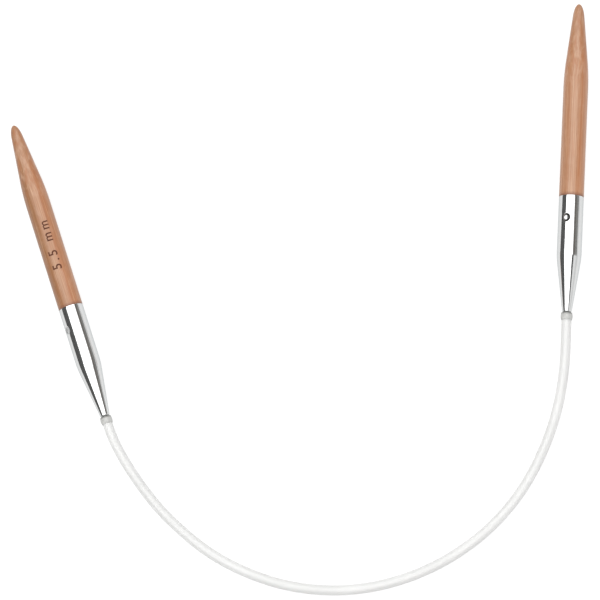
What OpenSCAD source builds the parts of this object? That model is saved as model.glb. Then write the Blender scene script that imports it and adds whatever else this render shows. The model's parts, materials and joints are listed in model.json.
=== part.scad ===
// Circular knitting needle.
// Two bamboo tips sit in metal ferrules, and one clear nylon cable joins them. Each ferrule turns
// freely on a headed pin that is fixed in the cable's end.
// It lies on a table: +Z is up, the tips point along +Y and the cable bows towards -Y. The origin
// is on the table, under the middle of the box around the two needles.

/* [Shank] */
// Diameter of the bamboo, which is the needle's knitting size
shank_d = 5.5; // [4:0.25:8]
// Bamboo in sight, from the ferrule to the point
bamboo_len = 44.5; // [32:0.1:70]
// Length of the tapered point
taper_len = 16.4; // [11:0.1:26]
// Diameter of the point's blunt nose, half an ellipse that the taper runs into
nose_d = 2.7; // [1.6:0.1:3.4]
// Length of the nose's half ellipse
nose_len = 4; // [2:0.1:6]
// Radius that blends the taper into the shank
shoulder_r = 58; // [10:1:80]
// Small chamfer on the bamboo where it meets the ferrule
shank_chamfer = 0.1; // [0.05:0.05:0.3]

/* [Ferrule] */
// Length of the ferrule, from its mouth to the bamboo
ferrule_len = 26; // [20:0.1:36]
// Length of the ferrule's cone
cone_len = 12.4; // [9:0.1:16]
// How far the ferrule's outside lies below the bamboo's
ferrule_step = 0; // [0:0.05:0.2]
// Wall of the straight part
ferrule_wall = 0.35; // [0.2:0.05:0.6]
// Wall around the mouth
mouth_wall = 0.43; // [0.42:0.01:0.8]
// Length of the mouth's bore before the inside opens into the cone
mouth_land = 2; // [1:0.1:3]
// Rounding of the mouth's outer edge
lip_r = 0.4; // [0.05:0.05:0.4]
// Radius that blends the cone into the straight part
cone_blend_r = 20; // [4:1:40]

/* [Tenon] */
// Air between the bamboo's tenon and the ferrule's bore, which glue fills
glue_gap = 0.03; // [0.01:0.01:0.1]
// Space between the end of the tenon and the cone
tenon_stop = 1.5; // [0.5:0.1:4]
// Radius of the punched dimple that locks the tenon
dimple_r = 1.6; // [1.2:0.1:2]
// Depth of the dimple
dimple_depth = 0.3; // [0.2:0.05:0.4]
// Distance from the bamboo to the middle of the dimple
dimple_at = 5.1; // [3:0.1:8]
// How far the left dimple is turned from the top, towards -X
left_dimple_turn = 52; // [-180:1:180]
// How far the right dimple is turned from the top, towards -X
right_dimple_turn = 20; // [-180:1:180]

/* [Swivel] */
// Diameter of the pin's stem
pin_d = 1.2; // [0.9:0.05:1.4]
// Diameter of the pin's head
pin_head_d = 2.2; // [1.6:0.05:2.6]
// Thickness of the head behind its cone
pin_head_len = 0.8; // [0.4:0.1:2]
// Length of the stem inside the cable
pin_grip = 1.5; // [1:0.1:4.5]
// Clearance around the stem in the mouth
pin_clearance = 0.05; // [0.02:0.01:0.1]
// Clearance around the head in the cone
head_clearance = 0.1; // [0.05:0.01:0.2]
// Gap between the ferrule's mouth and the cable
swivel_gap = 0.1; // [0.05:0.05:0.4]

/* [Cable] */
// Diameter of the cable
cable_d = 2.2; // [1.7:0.05:3]
// Straight length of cable at each ferrule
exit_len = 5; // [4.6:0.1:6]
// Length of the clear collar on the cable's end
collar_len = 1.6; // [1:0.1:3]
// How far the collar stands out at its ends
collar_edge = 0.06; // [0.04:0.01:0.2]
// How far its rounded middle stands out beyond its ends
collar_bulge = 0.14; // [0.05:0.01:0.3]
// Air between the collar and the cable
collar_fit = 0.02; // [0.01:0.01:0.05]

/* [Lie] */
// Where the left ferrule's mouth lies
left_mouth = [-41.5, -46.85];
// Where the right ferrule's mouth lies
right_mouth = [60.4, -23.3];
// How far the left needle leans from +Y, towards -X
left_lean = 19.1; // [0:0.1:40]
// How far the right needle leans from +Y, towards -X
right_lean = -2.2; // [-40:0.1:0]

/* [Hidden] */
$fn = 48;

shank_r = shank_d / 2;
nose_r = nose_d / 2;
cable_r = cable_d / 2;
pin_r = pin_d / 2;
pin_head_r = pin_head_d / 2;
needle_len = ferrule_len + bamboo_len;

// Ferrule radii: outside, bore for the tenon, bore of the mouth, outside of the mouth
ferrule_r = shank_r - ferrule_step;
socket_r = ferrule_r - ferrule_wall;
mouth_bore_r = pin_r + pin_clearance;
mouth_r = mouth_bore_r + mouth_wall;

tenon_r = socket_r - glue_gap;
tenon_z = cone_len + tenon_stop;
dimple_z = ferrule_len - dimple_at;
dimple_centre = ferrule_r - dimple_depth + dimple_r;
// The punch pushes the wall in by its own thickness
boss_r = dimple_r + ferrule_wall;

// The cable's route between its two straight ends: a fall to the table, then one open bow on it
ROUTE = [[-37.4, -56, 2.55], [-34.8, -60, 2.05], [-31.8, -64, 1.5], [-28.4, -68, 1.15],
         [-24, -72, 1.1], [-19.6, -75.6, 1.1], [-14.6, -78.7, 1.1], [-9, -81.3, 1.1],
         [-3, -83.3, 1.1], [2, -84.3, 1.1], [7, -84.8, 1.1], [13, -84.8, 1.1],
         [19.5, -83.8, 1.1], [25.1, -82.2, 1.1], [30.1, -80.2, 1.1], [35.7, -77.2, 1.1],
         [41.2, -73.2, 1.1], [44.8, -69.8, 1.1], [47.7, -66.6, 1.1], [50.7, -62.6, 1.1],
         [53.6, -57.5, 1.1], [55.6, -53, 1.1], [57.1, -49, 1.15], [58.7, -43.5, 1.45],
         [59.7, -37.5, 2.1], [60.1, -33, 2.55]];
CABLE_SIDES = 8;

// A point on a needle's axis, z from its mouth towards its point
function on_axis(mouth, lean, z) = [mouth.x - z * sin(lean), mouth.y + z * cos(lean), shank_r];

function unit(v) = v / norm(v);

// Points on an arc about [x, y], from angle a to angle b, stretched along y
function arc(x, y, r, a, b, steps, stretch = 1) =
    [for (i = [0:steps]) let (t = a + (b - a) * i / steps)
        [x + r * cos(t), y + stretch * r * sin(t)]];

// Where along the axis the inside of the cone has radius r
function cone_z(r) =
    mouth_land + (r - mouth_bore_r) * (cone_len - mouth_land) / (socket_r - mouth_bore_r);

// One ring of the cable, square to the route at point i
function ring(p, i) =
    let (ahead = unit(p[min(i + 1, len(p) - 1)] - p[max(i - 1, 0)]),
         side = unit(cross(ahead, [0, 0, 1])),
         up = cross(side, ahead))
    [for (k = [0:CABLE_SIDES - 1]) let (a = 360 * k / CABLE_SIDES)
        p[i] + cable_r * (cos(a) * side + sin(a) * up)];

// Sweeps a tube along the points p
module tube(p) {
    n = CABLE_SIDES;
    last = (len(p) - 1) * n;
    points = [for (i = [0:len(p) - 1]) each ring(p, i)];
    walls = [for (i = [0:len(p) - 2], k = [0:n - 1])
        let (a = i * n + k, b = i * n + (k + 1) % n)
        each [[a, a + n, b], [b, a + n, b + n]]];
    caps = [[for (k = [0:n - 1]) k], [for (k = [n - 1:-1:0]) last + k]];
    polyhedron(points, concat(walls, caps));
}

// Stands its children on a needle's axis: their z runs from the mouth towards the point
module on_needle(mouth, lean)
    translate(on_axis(mouth, lean, 0)) rotate([0, 0, lean]) rotate([-90, 0, 0]) children();

// A ball on the dimple's axis, turned from the top of the needle
module punch(r, turn)
    rotate([0, 0, -turn]) translate([0, -dimple_centre, dimple_z]) sphere(r);

// The taper is the line from the shank that just touches the nose. It is found where the nose,
// squeezed along the axis, is a circle.
module tip(turn) {
    stretch = nose_len / nose_r;
    squeezed = (taper_len - nose_len) / stretch;
    touch = atan2(shank_r, squeezed) - asin(nose_r / norm([shank_r, squeezed]));
    slope = atan(tan(touch) / stretch);
    straight_z = needle_len - taper_len - shoulder_r * tan(slope / 2);
    color("burlywood") difference() {
        rotate_extrude() polygon(concat(
            [[0, tenon_z], [tenon_r, tenon_z], [tenon_r, ferrule_len],
             [shank_r - shank_chamfer, ferrule_len], [shank_r, ferrule_len + shank_chamfer]],
            arc(shank_r - shoulder_r, straight_z, shoulder_r, 0, slope, 6),
            arc(0, needle_len - nose_len, nose_r, touch, 90, 10, stretch)));
        punch(boss_r + glue_gap, turn);
    }
}

module ferrule(turn) {
    flare = atan2(ferrule_r - mouth_r, cone_len);
    blend_z = cone_len + cone_blend_r * tan(flare / 2);
    color("silver") difference() {
        union() {
            rotate_extrude() polygon(concat(
                [[mouth_bore_r, 0]],
                arc(mouth_r - lip_r, lip_r, lip_r, -90, -flare, 8),
                arc(ferrule_r - cone_blend_r, blend_z, cone_blend_r, -flare, 0, 6),
                [[ferrule_r, ferrule_len], [socket_r, ferrule_len], [socket_r, cone_len],
                 [mouth_bore_r, mouth_land]]));
            intersection() {
                punch(boss_r, turn);
                translate([0, 0, cone_len])
                    cylinder(r = socket_r + ferrule_wall / 2, h = ferrule_len - cone_len);
            }
        }
        punch(dimple_r, turn);
    }
}

module swivel_pin() {
    neck_z = cone_z(pin_r + head_clearance);
    head_z = cone_z(pin_head_r + head_clearance);
    color("gainsboro") rotate_extrude() polygon([
        [0, -swivel_gap - pin_grip], [pin_r, -swivel_gap - pin_grip], [pin_r, neck_z],
        [pin_head_r, head_z], [pin_head_r, head_z + pin_head_len], [0, head_z + pin_head_len]]);
}

module collar() {
    bore_r = cable_r + collar_fit;
    edge_r = bore_r + collar_edge;
    half = collar_len / 2;
    bulge_r = (half * half + collar_bulge * collar_bulge) / (2 * collar_bulge);
    reach = asin(half / bulge_r);
    color("whitesmoke") translate([0, 0, -swivel_gap - half]) rotate_extrude() polygon(concat(
        [[bore_r, half], [bore_r, -half]],
        arc(edge_r + collar_bulge - bulge_r, 0, bulge_r, -reach, reach, 8)));
}

module pin_bore()
    translate([0, 0, -swivel_gap - pin_grip]) cylinder(r = pin_r, h = pin_grip + swivel_gap);

module cable() {
    left_end = [for (z = [-swivel_gap, -exit_len]) on_axis(left_mouth, left_lean, z)];
    right_end = [for (z = [-exit_len, -swivel_gap]) on_axis(right_mouth, right_lean, z)];
    lying = [for (p = ROUTE) [p.x, p.y, max(p.z, cable_r)]];
    color("ghostwhite") difference() {
        tube(concat(left_end, lying, right_end));
        on_needle(left_mouth, left_lean) pin_bore();
        on_needle(right_mouth, right_lean) pin_bore();
    }
}

cable();
on_needle(left_mouth, left_lean) collar();  // left_collar
on_needle(right_mouth, right_lean) collar();  // right_collar
on_needle(left_mouth, left_lean) swivel_pin();  // left_swivel_pin
on_needle(right_mouth, right_lean) swivel_pin();  // right_swivel_pin
on_needle(left_mouth, left_lean) ferrule(left_dimple_turn);  // left_ferrule
on_needle(right_mouth, right_lean) ferrule(right_dimple_turn);  // right_ferrule
on_needle(left_mouth, left_lean) tip(left_dimple_turn);  // left_tip
on_needle(right_mouth, right_lean) tip(right_dimple_turn);  // right_tip
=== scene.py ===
"""Looks of the circular knitting needle: bamboo tips, plated ferrules, nylon cable and beads.

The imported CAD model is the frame. A needle has a frame of its own, with its origin at the ferrule's
mouth, z along the axis to the point and -Y up. Every round piece is turned about that z axis.
All lengths are in metres.
"""

import json
import math

import bmesh
import bpy
from mathutils import Matrix, Vector


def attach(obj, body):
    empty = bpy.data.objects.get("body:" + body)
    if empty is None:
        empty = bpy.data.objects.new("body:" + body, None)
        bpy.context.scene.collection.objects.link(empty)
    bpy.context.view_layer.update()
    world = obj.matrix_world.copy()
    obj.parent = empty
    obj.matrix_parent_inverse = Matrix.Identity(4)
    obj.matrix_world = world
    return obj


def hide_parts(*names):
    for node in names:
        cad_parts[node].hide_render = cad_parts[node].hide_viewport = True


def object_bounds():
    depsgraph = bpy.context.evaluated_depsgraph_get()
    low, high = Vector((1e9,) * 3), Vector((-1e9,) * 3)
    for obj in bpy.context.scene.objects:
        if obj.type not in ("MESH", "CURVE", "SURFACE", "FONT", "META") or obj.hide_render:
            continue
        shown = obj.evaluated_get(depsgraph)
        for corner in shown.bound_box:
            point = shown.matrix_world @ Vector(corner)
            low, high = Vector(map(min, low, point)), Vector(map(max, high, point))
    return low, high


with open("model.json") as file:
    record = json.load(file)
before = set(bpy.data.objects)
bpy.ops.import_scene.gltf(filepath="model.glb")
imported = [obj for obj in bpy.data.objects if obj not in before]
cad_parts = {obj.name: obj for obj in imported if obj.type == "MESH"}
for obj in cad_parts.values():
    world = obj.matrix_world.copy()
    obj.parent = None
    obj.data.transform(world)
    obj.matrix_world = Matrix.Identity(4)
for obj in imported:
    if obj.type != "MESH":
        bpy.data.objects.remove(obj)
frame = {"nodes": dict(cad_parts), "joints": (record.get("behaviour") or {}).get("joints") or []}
cad_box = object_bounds()

MM = 0.001
SHARP = math.radians(40)  # edges between faces at more than this angle stay sharp


# ---------------------------------------------------------------- the needles' frames and sizes

def needle_frame(joint):
    """A needle's own frame, from its swivel: z from the mouth to the point, -Y up."""
    z = Vector(joint["axis"]).normalized()
    y = Vector((0, 0, -1))
    turn = Matrix((y.cross(z), y, z)).transposed().to_4x4()
    return Matrix.Translation(joint["pos_m"]) @ turn


NEEDLES = {j["child"].split("_")[0]: needle_frame(j) for j in frame["joints"]}


def span(node):
    """Lowest and highest z, and smallest and largest r, of a CAD node of the left needle."""
    inward = NEEDLES["left"].inverted()
    points = [inward @ v.co for v in frame["nodes"][node].data.vertices]
    radii = [math.hypot(p.x, p.y) for p in points]
    return min(p.z for p in points), max(p.z for p in points), min(radii), max(radii)


# Sizes that the CAD nodes give
_, ferrule_len, mouth_bore_r, ferrule_r = span("left_ferrule")
tenon_z, needle_len, _, shank_r = span("left_tip")
pin_low, pin_high, _, pin_head_r = span("left_swivel_pin")
collar_low, collar_high, collar_bore_r, collar_r = span("left_collar")

# Sizes inside those nodes, the same as the CAD part's
taper_len = 16.4 * MM
nose_r = 1.35 * MM
nose_len = 4 * MM
shoulder_r = 58 * MM
shank_chamfer = 0.1 * MM
cone_len = 12.4 * MM
cone_blend_r = 20 * MM
mouth_r = 1.08 * MM
mouth_land = 2 * MM
lip_r = 0.4 * MM
socket_r = 2.4 * MM
tenon_r = 2.37 * MM
pin_r = 0.6 * MM
pin_head_len = 0.8 * MM
head_clearance = 0.1 * MM
cable_r = 1.1 * MM
collar_edge_r = 1.18 * MM

# The punched dimple: a ball of this radius, whose centre is this far from the axis. The boss is
# the same dimple on the ferrule's inner wall, and the pocket is the dent in the tenon. The blends
# are how far the edges are rounded over.
dimple_r = 1.6 * MM
dimple_centre = 4.05 * MM
dimple_z = ferrule_len - 5.1 * MM
dimple_turn = {"left": 52, "right": 20}
boss_r = 1.95 * MM
pocket_r = 1.98 * MM
outer_blend = 0.12 * MM
inner_blend = 0.05 * MM

# How far apart the rings of tips and ferrules lie, away from the dimple
ring_step = 1 * MM

# The cable's straight ends, and its route between them in millimetres, as the CAD part has it
exit_len = 5 * MM
ROUTE = [(-37.4, -56, 2.55), (-34.8, -60, 2.05), (-31.8, -64, 1.5), (-28.4, -68, 1.15),
         (-24, -72, 1.1), (-19.6, -75.6, 1.1), (-14.6, -78.7, 1.1), (-9, -81.3, 1.1),
         (-3, -83.3, 1.1), (2, -84.3, 1.1), (7, -84.8, 1.1), (13, -84.8, 1.1),
         (19.5, -83.8, 1.1), (25.1, -82.2, 1.1), (30.1, -80.2, 1.1), (35.7, -77.2, 1.1),
         (41.2, -73.2, 1.1), (44.8, -69.8, 1.1), (47.7, -66.6, 1.1), (50.7, -62.6, 1.1),
         (53.6, -57.5, 1.1), (55.6, -53, 1.1), (57.1, -49, 1.15), (58.7, -43.5, 1.45),
         (59.7, -37.5, 2.1), (60.1, -33, 2.55)]


# ---------------------------------------------------------------- camera

def make_camera():
    """Looks down on the object from a little in front of it and to its right."""
    tilt_front, tilt_right = math.radians(11.102), math.radians(5.409)
    distance = 0.669
    aim_shift = Vector((1.1, -0.6, 0)) * MM
    low, high = cad_box
    aim = (low + high) / 2 + aim_shift
    aim.z = 0
    back = Vector((math.tan(tilt_right), -math.tan(tilt_front), 1)).normalized()
    right = (Vector((1, 0, 0)) - back.x * back).normalized()
    data = bpy.data.cameras.new("camera")
    data.lens = 180
    data.sensor_width = 36
    data.clip_start = 0.01
    camera = bpy.data.objects.new("camera", data)
    turn = Matrix((right, back.cross(right), back)).transposed().to_4x4()
    camera.matrix_world = Matrix.Translation(aim + back * distance) @ turn
    bpy.context.scene.collection.objects.link(camera)
    bpy.context.scene.camera = camera


# ---------------------------------------------------------------- mesh tools

def add_object(name, mesh, place=None):
    obj = bpy.data.objects.new(name, mesh)
    bpy.context.scene.collection.objects.link(obj)
    if place is not None:
        obj.matrix_world = place
    return obj


def finish_mesh(name, bm):
    """Turns a bmesh into a mesh with smooth faces and sharp corners."""
    bmesh.ops.recalc_face_normals(bm, faces=bm.faces)
    mesh = bpy.data.meshes.new(name)
    bm.to_mesh(mesh)
    bm.free()
    mesh.shade_smooth()
    mesh.set_sharp_from_angle(angle=SHARP)
    return mesh


def skin(bm, rings, closed=False):
    """Faces between rings of vertices. A ring of one vertex is a pole."""
    pairs = list(zip(rings, rings[1:]))
    if closed:
        pairs.append((rings[-1], rings[0]))
    for low, high in pairs:
        count = max(len(low), len(high))
        for k in range(count):
            n = (k + 1) % count
            corners = [low[k % len(low)], low[n % len(low)],
                       high[n % len(high)], high[k % len(high)]]
            face = [v for i, v in enumerate(corners) if v not in corners[:i]]
            bm.faces.new(face)


def lathe(outline, angles, closed=False, shape=None):
    """A bmesh of an outline of (r, z) points turned about z, each point then moved by shape."""
    bm = bmesh.new()
    rings = []
    for r, z in outline:
        if r < 1e-9:
            rings.append([bm.verts.new((0, 0, z))])
            continue
        points = [Vector((r * math.cos(a), r * math.sin(a), z)) for a in angles]
        rings.append([bm.verts.new(shape(p) if shape else p) for p in points])
    skin(bm, rings, closed)
    return bm


def even_angles(count):
    return [2 * math.pi * k / count for k in range(count)]


def angles_about(turn):
    """Angles round the needle, closer together near the dimple, which is turned from the top."""
    half_width, fine, coarse = 34, 1.0, 2.5
    middle = -90 - turn
    steps = round(2 * half_width / fine)
    near = [middle - half_width + fine * k for k in range(steps + 1)]
    rest = 360 - 2 * half_width
    count = round(rest / coarse)
    far = [middle + half_width + rest * k / count for k in range(1, count)]
    return [math.radians(a) for a in near + far]


def arc(x, y, r, start, end, steps, stretch=1):
    """Points on an arc about (x, y), from angle start to end, stretched along y."""
    turns = [math.radians(start + (end - start) * i / steps) for i in range(steps + 1)]
    return [(x + r * math.cos(t), y + stretch * r * math.sin(t)) for t in turns]


def fill(outline, step, finer=None):
    """Adds points so that no leg is longer than step, or than finer(z) where it gives a length."""
    out = [outline[0]]
    shortest = 0 if finer else step * 0.2
    for a, b in zip(outline, outline[1:]):
        length = math.dist(a, b)
        last = length - shortest - 1e-6
        at = 0
        while True:
            z = a[1] + (b[1] - a[1]) * at / length
            at += min(step, finer(z)) if finer else step
            if at > last:
                break
            out.append((a[0] + (b[0] - a[0]) * at / length, a[1] + (b[1] - a[1]) * at / length))
        out.append(b)
    return out


def near_dimple(z):
    """How close the rings of a turned piece lie: close together where the dimple is."""
    reach, close = 1.4 * MM, 0.06 * MM
    return close if abs(z - dimple_z) < reach else ring_step


def smooth_min(a, b, k):
    return min(a, b) - max(k - abs(a - b), 0) ** 2 / (4 * k)


def punched(turn, ball_r, blend):
    """A shape for lathe: pushes the wall in where a ball on the dimple's axis reaches it."""
    angle = math.radians(-90 - turn)
    out = Vector((math.cos(angle), math.sin(angle), 0))
    side = Vector((-out.y, out.x, 0))

    def shape(p):
        height, across, along = p.dot(out), p.dot(side), p.z - dimple_z
        near = ball_r * ball_r - across * across - along * along
        if near <= 0 or height <= 0:
            return p
        floor = dimple_centre - math.sqrt(near)
        return p + out * (smooth_min(height, floor, blend) - height)
    return shape


# ---------------------------------------------------------------- tips

def tip_outline():
    """Tenon, shank, shoulder, taper and nose. The taper is the line that touches the nose."""
    stretch = nose_len / nose_r
    squeezed = (taper_len - nose_len) / stretch
    touch = math.atan2(shank_r, squeezed) - math.asin(nose_r / math.hypot(shank_r, squeezed))
    slope = math.atan(math.tan(touch) / stretch)
    straight_z = needle_len - taper_len - shoulder_r * math.tan(slope / 2)
    tenon_edge = 0.2 * MM
    near_pole = 89
    return fill(
        [(0, tenon_z), (tenon_r - tenon_edge, tenon_z), (tenon_r, tenon_z + tenon_edge),
         (tenon_r, ferrule_len), (shank_r - shank_chamfer, ferrule_len),
         (shank_r, ferrule_len + shank_chamfer)]
        + arc(shank_r - shoulder_r, straight_z, shoulder_r, 0, math.degrees(slope), 16)
        + arc(0, needle_len - nose_len, nose_r, math.degrees(touch), near_pole, 40, stretch)
        + [(0, needle_len)],
        ring_step, near_dimple)


def make_tip(side):
    turn = dimple_turn[side]
    dent = punched(turn, pocket_r, inner_blend)
    bm = lathe(tip_outline(), angles_about(turn), shape=dent)
    tip = add_object(side + "_bamboo", finish_mesh(side + "_bamboo", bm), NEEDLES[side])
    tip.data.materials.append(bamboo(side))
    if side == "left":
        engrave(tip)
    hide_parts(side + "_tip")
    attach(tip, side + "_needle")


# ---------------------------------------------------------------- the size mark on the left tip

def mark_cutter():
    """The size in figures, as a closed solid bent round the shank and sunk a little into it."""
    text = bpy.data.curves.new("mark", "FONT")
    text.body = "5.5 mm"
    text.align_x = "CENTER"
    text.size = 2.9 * MM
    text.space_character = 1.42
    text.offset = 0.035 * MM
    text.extrude = 0.5  # the depth is set below, and only the sign of z is used
    text.resolution_u = 6
    flat = bpy.data.objects.new("mark", text)
    bpy.context.scene.collection.objects.link(flat)
    bpy.context.view_layer.update()
    mesh = bpy.data.meshes.new_from_object(
        flat.evaluated_get(bpy.context.evaluated_depsgraph_get()))
    bpy.data.objects.remove(flat)
    bm = bmesh.new()
    bm.from_mesh(mesh)
    bmesh.ops.remove_doubles(bm, verts=bm.verts, dist=1e-7)
    tall = max(v.co.y for v in bm.verts)
    cuts = 16
    for i in range(1, cuts):
        bmesh.ops.bisect_plane(bm, geom=bm.verts[:] + bm.edges[:] + bm.faces[:],
                               plane_co=(0, tall * i / cuts, 0), plane_no=(0, 1, 0))
    depth = 0.06 * MM
    middle_z = ferrule_len + 14.5 * MM
    lean = math.radians(1.5)
    for v in bm.verts:
        r = shank_r + (depth if v.co.z > 0 else -depth)
        a = (v.co.y - tall / 2) / shank_r - lean
        v.co = Vector((-r * math.sin(a), -r * math.cos(a), middle_z + v.co.x))
    return add_object("mark_cutter", finish_mesh("mark_cutter", bm), NEEDLES["left"])


def engrave(tip):
    """Cuts the size mark into the tip. The cut's own faces take the burnt material."""
    cutter = mark_cutter()
    cutter.data.materials.append(burnt_mark())
    tip.data.materials.append(cutter.data.materials[0])
    cut = tip.modifiers.new("cut", "BOOLEAN")
    cut.operation = "DIFFERENCE"
    cut.solver = "EXACT"
    cut.object = cutter
    cut.material_mode = "TRANSFER"
    bpy.context.view_layer.update()
    mesh = bpy.data.meshes.new_from_object(
        tip.evaluated_get(bpy.context.evaluated_depsgraph_get()))
    tip.modifiers.remove(cut)
    tip.data = mesh
    mesh.name = tip.name
    mesh.set_sharp_from_angle(angle=SHARP)
    bpy.data.objects.remove(cutter)


# ---------------------------------------------------------------- ferrules

def ferrule_outline():
    """The wall's outline, from the mouth up the outside and back down the bores."""
    flare = math.degrees(math.atan2(ferrule_r - mouth_r, cone_len))
    blend_z = cone_len + cone_blend_r * math.tan(math.radians(flare) / 2)
    rim = 0.05 * MM
    outline = (
        [(mouth_bore_r, 0)]
        + arc(mouth_r - lip_r, lip_r, lip_r, -90, -flare, 12)
        + arc(ferrule_r - cone_blend_r, blend_z, cone_blend_r, -flare, 0, 24)
        + arc(ferrule_r - rim, ferrule_len - rim, rim, 0, 90, 5)
        + [(socket_r, ferrule_len), (socket_r, cone_len), (mouth_bore_r, mouth_land),
           (mouth_bore_r, 0)])
    return fill(outline, ring_step, near_dimple)[:-1]


def make_ferrule(side):
    turn = dimple_turn[side]
    outside = punched(turn, dimple_r, outer_blend)
    inside = punched(turn, boss_r, inner_blend)
    middle_r = (socket_r + ferrule_r) / 2

    def shape(p):
        return outside(p) if math.hypot(p.x, p.y) > middle_r else inside(p)

    bm = lathe(ferrule_outline(), angles_about(turn), closed=True, shape=shape)
    ferrule = add_object(side + "_sleeve", finish_mesh(side + "_sleeve", bm), NEEDLES[side])
    ferrule.data.materials.append(plated_metal(side))
    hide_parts(side + "_ferrule")
    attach(ferrule, side + "_needle")


# ---------------------------------------------------------------- swivel pins and beads

def make_pin(side):
    """Stem, conical neck and head, with turned edges."""
    def cone_z(r):
        return mouth_land + (r - mouth_bore_r) * (cone_len - mouth_land) / (socket_r - mouth_bore_r)

    edge = 0.08 * MM
    head_z = cone_z(pin_head_r + head_clearance)
    outline = (
        [(0, pin_low), (pin_r - edge, pin_low), (pin_r, pin_low + edge),
         (pin_r, cone_z(pin_r + head_clearance)), (pin_head_r, head_z)]
        + arc(pin_head_r - edge, head_z + pin_head_len - edge, edge, 0, 90, 4)
        + [(0, pin_high)])
    bm = lathe(fill(outline, 0.4 * MM), even_angles(64))
    pin = add_object(side + "_pin", finish_mesh(side + "_pin", bm), NEEDLES[side])
    pin.data.materials.append(turned_steel())
    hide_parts(side + "_swivel_pin")
    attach(pin, "cord")
    return pin


def make_bead(side):
    """The clear bead on the cable's end, a ring with a rounded back."""
    half = (collar_high - collar_low) / 2
    middle = (collar_high + collar_low) / 2
    bulge = collar_r - collar_edge_r
    bulge_r = (half * half + bulge * bulge) / (2 * bulge)
    reach = math.degrees(math.asin(half / bulge_r))
    outline = (
        [(collar_bore_r, middle + half), (collar_bore_r, middle - half)]
        + arc(collar_r - bulge_r, middle, bulge_r, -reach, reach, 28))
    bm = lathe(outline, even_angles(96), closed=True)
    bead = add_object(side + "_bead", finish_mesh(side + "_bead", bm), NEEDLES[side])
    bead.data.materials.append(clear_bead())
    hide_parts(side + "_collar")
    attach(bead, "cord")
    return bead


# ---------------------------------------------------------------- cable

def cable_line():
    """A smooth line along the route, straight out of both ferrules: a uniform cubic B-spline."""
    steps = 12

    def straight(side, *heights):
        return [NEEDLES[side] @ Vector((0, 0, z)) for z in heights]

    control = (straight("left", collar_high, -exit_len)
               + [Vector(p) * MM for p in ROUTE]
               + straight("right", -exit_len, collar_high))
    legs = [2 * control[0] - control[1]] + control + [2 * control[-1] - control[-2]]
    line = []
    for a, b, c, d in zip(legs, legs[1:], legs[2:], legs[3:]):
        for i in range(steps):
            t = i / steps
            line.append(((1 - t) ** 3 * a + (3 * t ** 3 - 6 * t ** 2 + 4) * b
                         + (1 + 3 * t + 3 * t ** 2 - 3 * t ** 3) * c + t ** 3 * d) / 6)
    return line + [control[-1]]


def make_cable():
    """The cable's tube, with a blind hole in each end for the pin's stem."""
    line = cable_line()
    grip = collar_high - pin_low
    glue, edge, end_gap, sides = 0.01 * MM, 0.08 * MM, 0.4 * MM, 40
    hole_r = pin_r + glue
    run = [0]
    for a, b in zip(line, line[1:]):
        run.append(run[-1] + (b - a).length)
    length = run[-1]

    def station(s):
        """The line's point and direction, s metres along it."""
        i = max(k for k in range(len(run) - 1) if run[k] <= s or k == 0)
        ahead = (line[i + 1] - line[i]).normalized()
        return line[i] + ahead * (s - run[i]), ahead

    stops = [(grip, 0), (grip, hole_r), (0, hole_r), (0, cable_r - edge), (edge, cable_r)]
    body = [(s, cable_r) for s in run if end_gap < s < length - end_gap]
    mirrored = [(length - s, r) for s, r in reversed(stops)]
    bm = bmesh.new()
    straight = bm.verts.layers.float_vector.new("straight")  # places on the cable pulled straight
    rings = []
    for s, r in stops + body + mirrored:
        point, ahead = station(s)
        across = ahead.cross(Vector((0, 0, 1))).normalized()
        up = across.cross(ahead)
        ring = []
        for a in even_angles(sides) if r else [0]:
            vert = bm.verts.new(point + r * (math.cos(a) * across + math.sin(a) * up))
            vert[straight] = (r * math.cos(a), r * math.sin(a), s)
            ring.append(vert)
        rings.append(ring)
    skin(bm, rings)
    cable = add_object("cable_line", finish_mesh("cable_line", bm))
    cable.data.materials.append(milky_nylon())
    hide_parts("cable")
    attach(cable, "cord")
    return cable, line


# ---------------------------------------------------------------- materials

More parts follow.
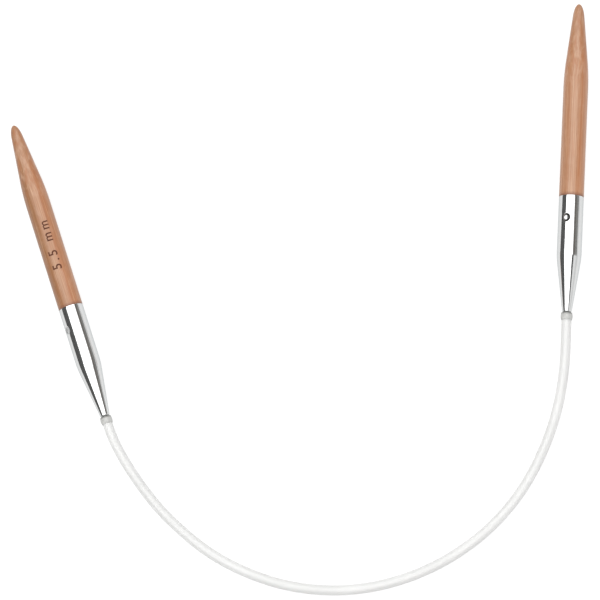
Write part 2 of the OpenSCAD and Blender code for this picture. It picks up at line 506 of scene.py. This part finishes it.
class Shader:
    """One material's nodes. Inputs are given by name, as values or as other nodes' outputs."""

    def __init__(self, name):
        self.material = bpy.data.materials.new(name)
        self.material.use_nodes = True
        self.tree = self.material.node_tree
        self.surface = self.tree.nodes["Principled BSDF"]

    def node(self, kind, inputs=None, output=0, **settings):
        """A new node with those inputs and settings. Gives one of its outputs."""
        made = self.tree.nodes.new("ShaderNode" + kind)
        for key, value in settings.items():
            setattr(made, key, value)
        for key, value in (inputs or {}).items():
            self.put(made.inputs[key], value)
        return made.outputs[output]

    def put(self, socket, value):
        if isinstance(value, bpy.types.NodeSocket):
            self.tree.links.new(value, socket)
        else:
            socket.default_value = value

    def finish(self, **inputs):
        """Sets the surface's own inputs and gives the material."""
        for key, value in inputs.items():
            self.put(self.surface.inputs[key.replace("_", " ")], value)
        return self.material

    def stretched(self, vector, across, along, shift=(0, 0, 0)):
        """Coordinates for a texture with so many features per millimetre across and along z."""
        scale = (across / MM, across / MM, along / MM)
        return self.node("Mapping", {"Vector": vector, "Scale": scale, "Location": shift})

    def noise(self, vector, detail=2, roughness=0.5):
        return self.node("TexNoise", {"Vector": vector, "Scale": 1, "Detail": detail,
                                      "Roughness": roughness})

    def ramp(self, fac, *stops):
        """A colour ramp with (position, colour) stops."""
        made = self.tree.nodes.new("ShaderNodeValToRGB")
        self.put(made.inputs["Fac"], fac)
        points = made.color_ramp.elements
        while len(points) < len(stops):
            points.new(0.5)
        for point, (at, colour) in zip(points, stops):
            point.position = at
            point.color = (*colour, 1)
        return made.outputs["Color"]

    def range(self, value, low, high, to_low=0, to_high=1):
        """Value, with low to high turned into to_low to to_high, and no further."""
        return self.node("MapRange", {"Value": value, "From Min": low, "From Max": high,
                                      "To Min": to_low, "To Max": to_high})

    def mix(self, fac, a, b):
        """Colour a where fac is 0, and b where it is 1."""
        first, second, result = 6, 7, 2  # the mix node's sockets for colours
        made = self.tree.nodes.new("ShaderNodeMix")
        made.data_type = "RGBA"
        self.put(made.inputs["Factor"], fac)
        for index, value in ((first, a), (second, b)):
            self.put(made.inputs[index], (*value, 1) if isinstance(value, tuple) else value)
        return made.outputs[result]

    def math(self, operation, a, b):
        return self.node("Math", {0: a, 1: b}, operation=operation)

    def bump(self, height, distance):
        return self.node("Bump", {"Height": height, "Distance": distance})

    def place(self):
        """A point in the piece's own frame."""
        return self.node("TexCoord", output="Object")

    def part(self, vector, axis):
        """One coordinate of a point."""
        return self.node("SeparateXYZ", {"Vector": vector}, output=axis)


def bamboo(side):
    """Carbonised bamboo: straight fibres and darker vessel bundles under a satin varnish.

    Its ground colour changes across the tip, in X, and this is painted light and shade: darker
    bands and sides where less light falls, and a paler middle where the softbox lights it. The
    taper cuts across the fibres, which gives it patches, and handling darkens its point. The rim
    at the ferrule is dark too.
    """
    shift = {"left": (3.1, 7.4, 0.3), "right": (11.7, 2.2, 5.9)}[side]  # so that the tips differ
    # Ground colours across each tip, from -X to +X: painted light and shade, not the bamboo's own
    # tone.
    painted_shade_across = {"left": ((0.0, (0.18, 0.08, 0.029)), (0.27, (0.204, 0.085, 0.029)),
                      (0.42, (0.275, 0.142, 0.074)), (0.62, (0.313, 0.16, 0.083)),
                      (0.76, (0.275, 0.098, 0.033)), (1.0, (0.313, 0.16, 0.083))),
             "right": ((0.0, (0.30, 0.155, 0.085)), (0.24, (0.285, 0.13, 0.058)),
                       (0.45, (0.31, 0.17, 0.095)), (0.62, (0.31, 0.16, 0.085)),
                       (0.76, (0.30, 0.115, 0.042)), (1.0, (0.33, 0.165, 0.09)))}[side]
    s = Shader(side + "_bamboo")
    place = s.place()
    height_z = s.part(place, "Z")
    tone = s.noise(s.stretched(place, 0.75, 0.012, shift), detail=2, roughness=0.6)
    bundles = s.node("TexVoronoi", {"Vector": s.stretched(place, 2.1, 0.012, shift), "Scale": 1},
                     distance="EUCLIDEAN", feature="F1")
    fibres = s.noise(s.stretched(place, 6, 0.07, shift), detail=3, roughness=0.65)
    flecks = s.noise(s.stretched(place, 7, 0.45, shift), detail=1)
    patches = s.noise(s.stretched(place, 1.2, 0.38, shift), detail=2, roughness=0.6)

    # How far across the tip a point lies, in X. This sets the painted light and shade.
    across = s.range(s.part(place, "X"), -shank_r, shank_r)
    across = s.math("ADD", across, s.range(tone, 0.3, 0.7, -0.1, 0.1))
    taper_z = needle_len - taper_len
    cut = s.range(height_z, taper_z - 3 * MM, taper_z + 5 * MM, 0.2, 0.75)
    dark_bundle = s.math("MULTIPLY", s.range(bundles, 0.12, 0.5, 1, 0), 0.35)
    dark_fibre = s.range(fibres, 0.45, 0.7, 0, 0.75)
    light_fibre = s.range(fibres, 0.45, 0.3, 0, 0.5)
    fleck = s.range(flecks, 0.70, 0.78, 0, 0.5)
    dark_patch = s.math("MULTIPLY", s.range(patches, 0.5, 0.64), cut)
    light_patch = s.math("MULTIPLY", s.range(patches, 0.47, 0.34), cut)
    handled = s.range(height_z, taper_z, needle_len, 0, 0.35)
    rim = s.range(height_z, ferrule_len + 0.2 * MM, ferrule_len + 0.8 * MM, 0.85, 0)

    # The ground colour: painted light and shade across the tip, with the grain laid over it.
    colour = s.ramp(across, *painted_shade_across)
    for amount, layer in ((dark_bundle, (0.25, 0.10, 0.035)), (dark_fibre, (0.20, 0.075, 0.025)),
                          (light_fibre, (0.42, 0.25, 0.138)), (fleck, (0.16, 0.06, 0.02)),
                          (dark_patch, (0.27, 0.10, 0.035)), (light_patch, (0.35, 0.20, 0.125)),
                          (handled, (0.19, 0.08, 0.032)), (rim, (0.16, 0.06, 0.028))):
        colour = s.mix(amount, colour, layer)
    relief = s.math("ADD", s.math("MULTIPLY", fibres, 0.6), s.math("MULTIPLY", bundles, -0.4))
    return s.finish(
        Base_Color=colour, Roughness=s.range(fibres, 0.3, 0.7, 0.42, 0.55),
        Normal=s.bump(relief, 0.012 * MM), IOR=1.5, Coat_Weight=0.25, Coat_Roughness=0.32)


def burnt_mark():
    """Scorched bamboo at the bottom of the size mark."""
    s = Shader("burnt_mark")
    place = s.place()
    grain = s.noise(s.stretched(place, 6, 0.8), detail=3)
    return s.finish(
        Base_Color=s.ramp(grain, (0.3, (0.05, 0.016, 0.009)), (0.7, (0.11, 0.038, 0.021))),
        Roughness=s.range(grain, 0.3, 0.7, 0.7, 0.9), Specular_IOR_Level=0.2,
        Normal=s.bump(grain, 0.02 * MM))


def plated_metal(side):
    """Polished plate with a slight waviness, fine drawn lines and spots worn by rubbing.

    The punched dimple isn't polished inside. A ring of painted shade lies round its edge, where
    the steep wall would look dark, and its inner side trims the highlight in the pit.
    """
    # How strongly each ferrule gets the painted shade ring round its dimple.
    painted_ring_shade = {"left": 0.1, "right": 0.94}[side]
    dull = {"left": 0.4, "right": 0.2}[side]
    s = Shader(side + "_plated_metal")
    place = s.place()
    lines = s.noise(s.stretched(place, 14, 0.25), detail=2)
    waves = s.noise(s.stretched(place, 0.35, 0.2), detail=1)
    rubs = s.noise(s.stretched(place, 1.3, 0.9), detail=4, roughness=0.7)
    relief = s.math("ADD", waves, s.math("MULTIPLY", lines, 0.03))
    angle = math.radians(-90 - dimple_turn[side])
    middle = (ferrule_r * math.cos(angle), ferrule_r * math.sin(angle), dimple_z)
    away = s.node("VectorMath", {0: place, 1: middle}, output="Value", operation="DISTANCE")
    uneven = 0.04 * MM
    away = s.math("ADD", away, s.range(rubs, 0.3, 0.7, -uneven, uneven))
    inside = s.range(away, 0.9 * MM, 0.75 * MM)
    # A ring 0.46 to 1.04 mm from the dimple's middle: painted shade on the pit's steep wall.
    edge = s.math("MINIMUM", s.range(away, 1.04 * MM, 0.9 * MM),
                  s.range(away, 0.46 * MM, 0.6 * MM))
    colour = s.ramp(rubs, (0.3, (0.56, 0.57, 0.57)), (0.7, (0.61, 0.61, 0.605)))
    colour = s.mix(s.math("MULTIPLY", edge, painted_ring_shade), colour, (0.035, 0.03, 0.028))
    polish = s.range(rubs, 0.35, 0.75, 0.055, 0.13)
    return s.finish(
        Base_Color=colour, Metallic=1.0,
        Roughness=s.math("ADD", polish, s.math("MULTIPLY", inside, dull)),
        Normal=s.bump(relief, 0.012 * MM), Specular_Tint=(0.72, 0.74, 0.75, 1))


def turned_steel():
    """Plain turned steel: fine rings round the pin."""
    name = "turned_steel"
    if name in bpy.data.materials:
        return bpy.data.materials[name]
    s = Shader(name)
    place = s.place()
    rings = s.noise(s.stretched(place, 0.3, 22), detail=2)
    return s.finish(
        Base_Color=s.ramp(rings, (0.3, (0.50, 0.50, 0.49)), (0.7, (0.62, 0.62, 0.61))),
        Metallic=1.0, Roughness=s.range(rings, 0.3, 0.7, 0.25, 0.4),
        Normal=s.bump(rings, 0.008 * MM))


def milky_nylon():
    """Clear nylon, a little milky, with faint lines along it from drawing."""
    s = Shader("milky_nylon")
    place = s.node("Attribute", output="Vector", attribute_name="straight")
    lines = s.noise(s.stretched(place, 5, 0.02), detail=2)
    clouds = s.noise(s.stretched(place, 0.5, 0.08), detail=3)
    return s.finish(
        Base_Color=s.ramp(clouds, (0.3, (0.525, 0.525, 0.518)), (0.7, (0.565, 0.565, 0.558))),
        Roughness=s.range(clouds, 0.3, 0.7, 0.3, 0.4), IOR=1.53,
        Subsurface_Weight=0.7, Subsurface_Radius=(1, 1, 1), Subsurface_Scale=1.2 * MM,
        Transmission_Weight=0.15, Normal=s.bump(lines, 0.004 * MM))


def clear_bead():
    """Greyish clear nylon, with a haze in it and a painted shadow along its top, by the ferrule."""
    name = "clear_bead"
    if name in bpy.data.materials:
        return bpy.data.materials[name]
    s = Shader(name)
    place = s.place()
    haze = s.noise(s.stretched(place, 1.4, 1.4), detail=3)
    colour = s.ramp(haze, (0.3, (0.33, 0.33, 0.32)), (0.7, (0.42, 0.42, 0.405)))
    # Painted shadow in the gap under the ferrule: darker over the bead's top 0.45 mm.
    painted_gap_shadow = s.range(s.part(place, "Z"), collar_high - 0.45 * MM, collar_high - 0.2 * MM, 0, 0.72)
    return s.finish(
        Base_Color=s.mix(painted_gap_shadow, colour, (0.10, 0.10, 0.095)),
        Roughness=s.range(haze, 0.3, 0.7, 0.4, 0.55), IOR=1.53,
        Transmission_Weight=0.12, Normal=s.bump(haze, 0.04 * MM))


def plain(name, colour, glow):
    """Matt stage paint in a colour, which also gives off some white light of its own."""
    s = Shader(name)
    place = s.place()
    tone = s.noise(s.node("Mapping", {"Vector": place, "Scale": (3, 3, 3)}), detail=2)
    near = tuple(0.99 * c for c in colour)
    return s.finish(Base_Color=s.ramp(tone, (0.3, near), (0.7, colour)), Roughness=0.9,
                    Emission_Color=(1, 1, 1, 1), Emission_Strength=glow)


# ---------------------------------------------------------------- floor and light

def panel(name, corners, colour, glow=0.0, shown=True):
    """A flat stage panel through four corners. If it isn't shown, only reflections see it."""
    bm = bmesh.new()
    bm.faces.new([bm.verts.new(c) for c in corners])
    mesh = bpy.data.meshes.new(name)
    bm.to_mesh(mesh)
    bm.free()
    obj = add_object(name, mesh)
    mesh.materials.append(plain(name, colour, glow))
    obj.visible_camera = obj.visible_diffuse = obj.visible_shadow = shown


def make_floor():
    half = 2.5
    corners = [(-half, -half, 0), (half, -half, 0), (half, half, 0), (-half, half, 0)]
    panel("floor", corners, (0.3, 0.3, 0.3), glow=0.66)


def at_angle(angle, distance, y):
    """A point that far from the object, at an angle from straight up towards +X."""
    a = math.radians(angle)
    return (distance * math.sin(a), y, distance * math.cos(a))


def make_card(name, start, end, near, far, colour, glow=0.0):
    """A hidden card between two angles from straight up, from near to far along Y."""
    distance = 0.9
    corners = [at_angle(start, distance, near), at_angle(end, distance, near),
               at_angle(end, distance, far), at_angle(start, distance, far)]
    panel(name, corners, colour, glow, shown=False)


def make_wall(name, y, top):
    """A hidden upright card in front of the object or behind it."""
    half, low = 0.4, 0.05
    corners = [(-half, y, low), (half, y, low), (half, y, top), (-half, y, top)]
    panel(name, corners, (0.34, 0.34, 0.33), shown=False)


def make_softbox(name, angle, distance, size, radiance, y):
    """A rectangular area light that shines at the object from an angle from straight up."""
    data = bpy.data.lights.new(name, "AREA")
    data.shape = "RECTANGLE"
    data.size, data.size_y = size
    data.energy = radiance * math.pi * size[0] * size[1]
    light = bpy.data.objects.new(name, data)
    light.location = at_angle(angle, distance, y)
    light.rotation_euler = (0, math.radians(angle), 0)
    light.visible_camera = False
    bpy.context.scene.collection.objects.link(light)


def make_light():
    """A white room, a softbox overhead, and the cards that the plated metal mirrors."""
    world = bpy.data.worlds.new("studio")
    world.use_nodes = True
    world.node_tree.nodes["Background"].inputs["Color"].default_value = (1, 1, 1, 1)
    world.node_tree.nodes["Background"].inputs["Strength"].default_value = 1.0
    bpy.context.scene.world = world
    make_softbox("softbox", angle=-4, distance=1.1, size=(1.7, 1.9), radiance=2.1, y=0.2)
    reach, split = 1.2, 0.04
    make_card("left_card", -90, -41.5, -reach, reach, (0.10, 0.10, 0.098))
    make_card("right_card", 39, 56, split, reach, (0.17, 0.155, 0.14))
    make_card("right_card_low", 56, 77, split, reach, (0.25, 0.245, 0.235))
    make_card("right_card_front", 29.5, 47, -reach, split, (0.13, 0.13, 0.128))
    make_card("right_fill", 47.5, 68, -reach, split, (0.02, 0.02, 0.02), glow=1.15)
    make_wall("front_card", y=-0.9, top=0.8)
    make_wall("back_card", y=0.9, top=0.5)
    bpy.context.scene.view_settings.view_transform = "Standard"


# ---------------------------------------------------------------- the whole

make_camera()
cable, line = make_cable()
on_cable = [make(side) for make in (make_pin, make_bead) for side in NEEDLES]
for side in NEEDLES:
    make_ferrule(side)
    make_tip(side)
make_floor()
make_light()
